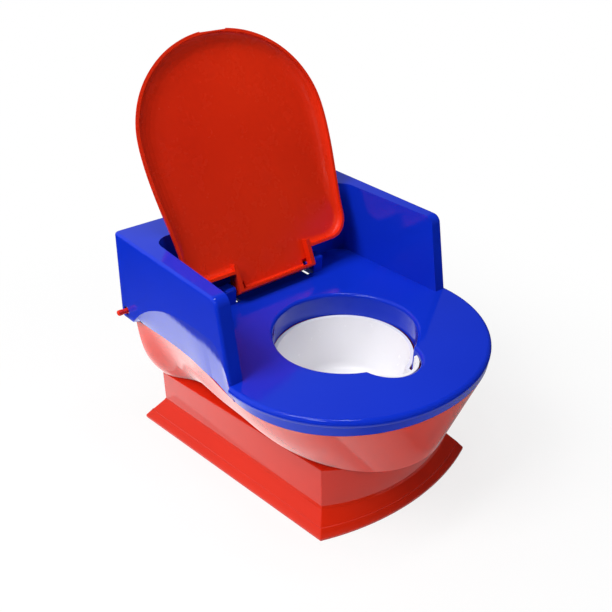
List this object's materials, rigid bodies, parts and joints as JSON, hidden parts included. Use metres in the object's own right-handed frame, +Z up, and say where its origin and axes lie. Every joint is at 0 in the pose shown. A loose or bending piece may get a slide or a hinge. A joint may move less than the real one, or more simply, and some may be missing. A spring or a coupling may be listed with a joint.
{
  "type": "potty training chair",
  "caption": "Child's potty training chair with a flared foot, a bowl, a hinged seat with arms and back, a hinged lid and a lift-out pan.",
  "frame": {"origin": "centre of the bounding box at rest, on the floor the foot stands on", "axes": "+Z up, -Y the way the child faces, +X across the seat; the two halves mirror each other across the YZ plane"},
  "size_m": [0.311, 0.3566, 0.3994],
  "materials": {
    "red_plastic": "gloss",
    "blue_plastic": "gloss",
    "white_plastic": "satin"
  },
  "bodies": {
    "base": {"pedestal_base": "red_plastic", "bowl_body": "red_plastic", "hinge_rod": "red_plastic"},
    "seat": {"seat_housing": "blue_plastic"},
    "lid": {"lid": "red_plastic"},
    "pan": {"pan": "white_plastic"}
  },
  "joints": [
    {"name": "seat_hinge", "type": "hinge", "parent": "base", "child": "seat", "pos_m": [0, 0.13207, 0.145], "axis": [-1, 0, 0], "range_deg": [0, 75]},
    {"name": "lid_hinge", "type": "hinge", "parent": "seat", "child": "lid", "pos_m": [0, 0.07307, 0.16199], "axis": [1, 0, 0], "range_deg": [0, 115]},
    {"name": "pan_lift", "type": "slide", "parent": "base", "child": "pan", "axis": [0, 0, 1], "range_m": [0, 0.14]}
  ]
}
